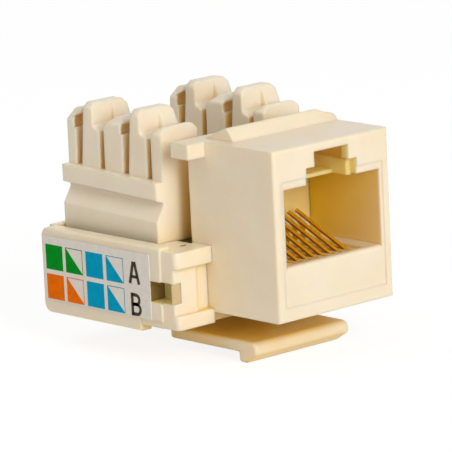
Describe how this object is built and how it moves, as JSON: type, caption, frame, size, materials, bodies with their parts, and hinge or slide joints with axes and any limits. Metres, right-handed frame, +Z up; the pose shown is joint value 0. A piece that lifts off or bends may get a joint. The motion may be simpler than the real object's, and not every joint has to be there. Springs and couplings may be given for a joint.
{
  "type": "keystone jack",
  "caption": "Keystone network jack with a modular plug port, gold spring contacts, a flexible latch and two punch-down blocks on a rear tray.",
  "frame": {"origin": "centre of the housing's front face, in the middle of the panel opening that the jack snaps into", "axes": "+Z up (ridge on top, latch below), -Y out of the plug port towards the plug, +X to the right seen from the front"},
  "size_m": [0.0241, 0.0278, 0.0232],
  "materials": {
    "ivory_plastic": "satin moulded ivory",
    "carrier_plastic": "satin moulded ivory",
    "contact_gold": "polished gold plate",
    "blade_tin": "tinned",
    "board_green": "solder mask",
    "label_paper": "printed film"
  },
  "bodies": {
    "jack": {"front_housing": "ivory_plastic", "contact_carrier": "carrier_plastic", "contact_tails": "contact_gold", "circuit_board": "board_green", "idc_block_left": "ivory_plastic", "idc_block_right": "ivory_plastic", "idc_contact_1": "blade_tin", "idc_contact_2": "blade_tin", "idc_contact_3": "blade_tin", "idc_contact_4": "blade_tin", "idc_contact_5": "blade_tin", "idc_contact_6": "blade_tin", "idc_contact_7": "blade_tin", "idc_contact_8": "blade_tin", "base_tray": "ivory_plastic", "label_left": "label_paper"},
    "latch": {"latch_arm": "ivory_plastic"},
    "spring_1": {"contact_1": "contact_gold"},
    "spring_2": {"contact_2": "contact_gold"},
    "spring_3": {"contact_3": "contact_gold"},
    "spring_4": {"contact_4": "contact_gold"},
    "spring_5": {"contact_5": "contact_gold"},
    "spring_6": {"contact_6": "contact_gold"},
    "spring_7": {"contact_7": "contact_gold"},
    "spring_8": {"contact_8": "contact_gold"}
  },
  "joints": [
    {"name": "latch_press", "type": "hinge", "parent": "jack", "child": "latch", "pos_m": [0, 0.01622, -0.0096], "axis": [-1, 0, 0], "range_deg": [0, 11], "stiffness_Nm_per_rad": 0.6},
    {"name": "contact_press_1", "type": "hinge", "parent": "jack", "child": "spring_1", "pos_m": [-0.00356, 0.00176, -0.00405], "axis": [-1, 0, 0], "range_deg": [0, 12], "stiffness_Nm_per_rad": 0.035},
    {"name": "contact_press_2", "type": "hinge", "parent": "jack", "child": "spring_2", "pos_m": [-0.00254, 0.00176, -0.00405], "axis": [-1, 0, 0], "range_deg": [0, 12], "stiffness_Nm_per_rad": 0.035},
    {"name": "contact_press_3", "type": "hinge", "parent": "jack", "child": "spring_3", "pos_m": [-0.00152, 0.00176, -0.00405], "axis": [-1, 0, 0], "range_deg": [0, 12], "stiffness_Nm_per_rad": 0.035},
    {"name": "contact_press_4", "type": "hinge", "parent": "jack", "child": "spring_4", "pos_m": [-0.00051, 0.00176, -0.00405], "axis": [-1, 0, 0], "range_deg": [0, 12], "stiffness_Nm_per_rad": 0.035},
    {"name": "contact_press_5", "type": "hinge", "parent": "jack", "child": "spring_5", "pos_m": [0.00051, 0.00176, -0.00405], "axis": [-1, 0, 0], "range_deg": [0, 12], "stiffness_Nm_per_rad": 0.035},
    {"name": "contact_press_6", "type": "hinge", "parent": "jack", "child": "spring_6", "pos_m": [0.00152, 0.00176, -0.00405], "axis": [-1, 0, 0], "range_deg": [0, 12], "stiffness_Nm_per_rad": 0.035},
    {"name": "contact_press_7", "type": "hinge", "parent": "jack", "child": "spring_7", "pos_m": [0.00254, 0.00176, -0.00405], "axis": [-1, 0, 0], "range_deg": [0, 12], "stiffness_Nm_per_rad": 0.035},
    {"name": "contact_press_8", "type": "hinge", "parent": "jack", "child": "spring_8", "pos_m": [0.00356, 0.00176, -0.00405], "axis": [-1, 0, 0], "range_deg": [0, 12], "stiffness_Nm_per_rad": 0.035}
  ]
}
